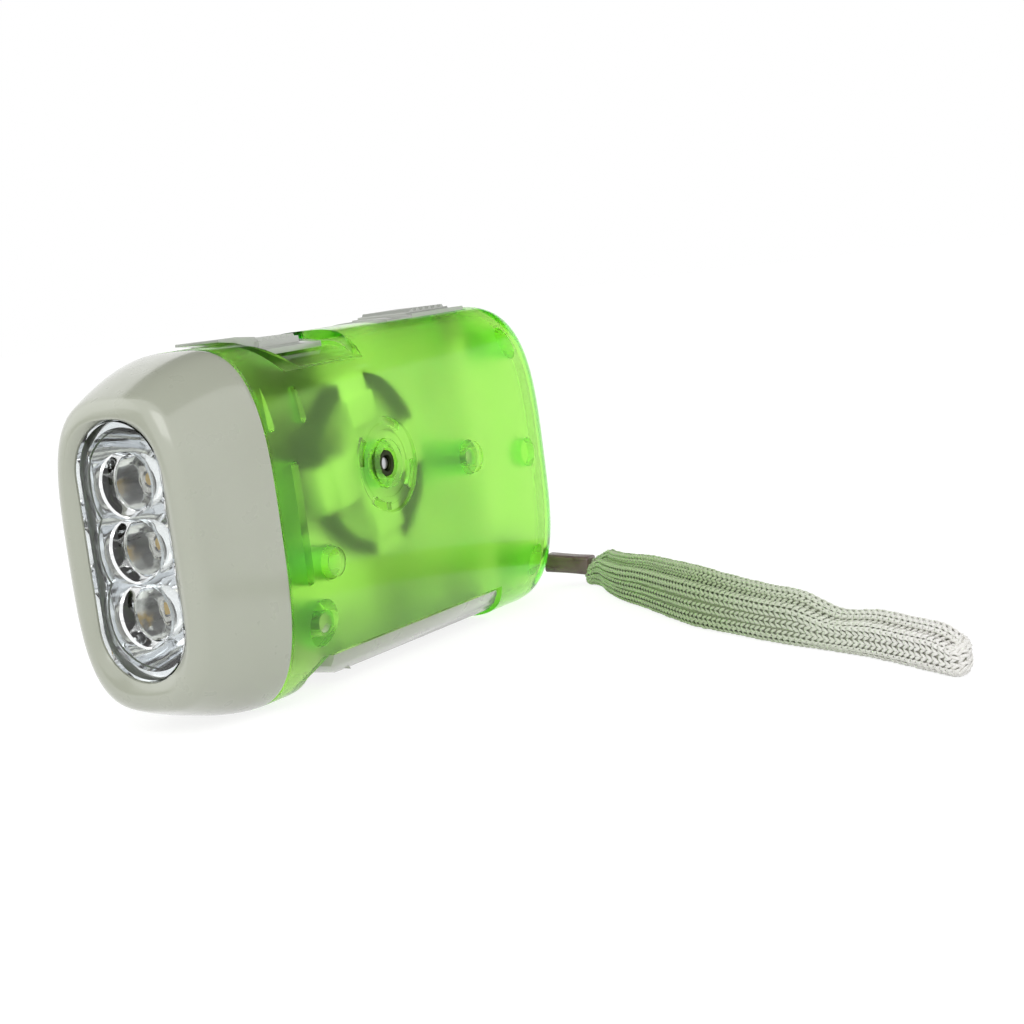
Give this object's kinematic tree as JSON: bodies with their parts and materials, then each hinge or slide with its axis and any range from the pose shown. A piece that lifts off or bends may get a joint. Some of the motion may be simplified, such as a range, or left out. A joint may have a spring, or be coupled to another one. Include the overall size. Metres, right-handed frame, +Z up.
{
  "type": "hand crank flashlight",
  "caption": "Squeeze-powered flashlight: clear lens over small lamps, grey bezel, see-through green case, hinged lever driving gears and a flywheel generator, sliding switch, lock, wrist strap.",
  "frame": {"origin": "on the resting plane, under the middle of the body without its strap", "axes": "-Y is where the lens looks, +Y the tail, +Z up, +X the side that the picture shows"},
  "size_m": [0.1234, 0.1091, 0.055],
  "materials": {
    "green_shell": "see-through tinted plastic, glossy outside, frosted inside",
    "grey_plastic": "satin moulded plastic",
    "clear_lens": "polished clear plastic",
    "bright_reflector": "vacuum-metallised, mirror bright",
    "clear_lamp": "clear epoxy",
    "white_board": "white printed circuit board",
    "white_nylon": "moulded nylon",
    "black_plastic": "moulded",
    "bright_steel": "turned and plated",
    "brass": "turned",
    "magnet_ferrite": "sintered ferrite",
    "core_steel": "stamped laminations",
    "copper_wire": "enamelled wire",
    "cell_steel": "nickel-plated can",
    "green_board": "solder mask",
    "red_lead": "insulated wire",
    "dark_crimp": "darkened metal",
    "strap_web": "knitted webbing",
    "loop_cord": "thin braided cord"
  },
  "bodies": {
    "case": {"front_bezel": "grey_plastic", "lens": "clear_lens", "reflector": "bright_reflector", "lamp_1": "clear_lamp", "lamp_2": "clear_lamp", "lamp_3": "clear_lamp", "lamp_board": "white_board", "housing_left": "green_shell", "housing_right": "green_shell", "rotor_bush_left": "brass", "rotor_bush_right": "brass", "stator_core": "core_steel", "coil_bobbin": "white_nylon", "coil_winding": "copper_wire", "lever_pin": "bright_steel", "lever_spring": "bright_steel", "switch_box": "black_plastic", "shell_screw_front": "bright_steel", "shell_screw_tail_top": "bright_steel", "shell_screw_tail_low": "bright_steel", "battery_cell_1": "cell_steel", "battery_cell_2": "cell_steel", "battery_cell_3": "cell_steel", "battery_cradle": "black_plastic", "circuit_board": "green_board", "rectifier": "black_plastic", "capacitor": "black_plastic", "lead_red": "red_lead", "lead_black": "black_plastic", "strap_loop": "loop_cord", "strap_crimp": "dark_crimp", "wrist_strap": "strap_web"},
    "lever": {"squeeze_lever": "grey_plastic"},
    "drive_gear": {"drive_wheel": "white_nylon", "drive_pinion": "white_nylon", "drive_axle": "bright_steel"},
    "flywheel_rotor": {"flywheel": "white_nylon", "flywheel_spur": "brass", "rotor_axle": "bright_steel", "rotor_magnet": "magnet_ferrite"},
    "switch": {"switch_slide": "grey_plastic", "switch_wiper": "brass"},
    "lock": {"lock_slide": "grey_plastic", "lock_arm": "white_nylon"}
  },
  "joints": [
    {"name": "lever_hinge", "type": "hinge", "parent": "case", "child": "lever", "pos_m": [0, -0.0233, 0.0112], "axis": [-1, 0, 0], "range_deg": [0, 18]},
    {"name": "drive_spin", "type": "hinge", "parent": "case", "child": "drive_gear", "pos_m": [0, 0.02055, 0.02946], "axis": [-1, 0, 0], "range_deg": [-125, 0]},
    {"name": "flywheel_spin", "type": "hinge", "parent": "case", "child": "flywheel_rotor", "pos_m": [0, -0.0041, 0.0322], "axis": [-1, 0, 0], "range_deg": [0, 648]},
    {"name": "switch_travel", "type": "slide", "parent": "case", "child": "switch", "axis": [0, 1, 0], "range_m": [0, 0.003]},
    {"name": "lock_travel", "type": "slide", "parent": "case", "child": "lock", "axis": [0, 1, 0], "range_m": [-0.003, 0]}
  ],
  "couplings": [
    {"joint": "drive_spin", "follows": "lever_hinge", "ratio": -6.9167},
    {"joint": "flywheel_spin", "follows": "lever_hinge", "ratio": 35.967}
  ]
}
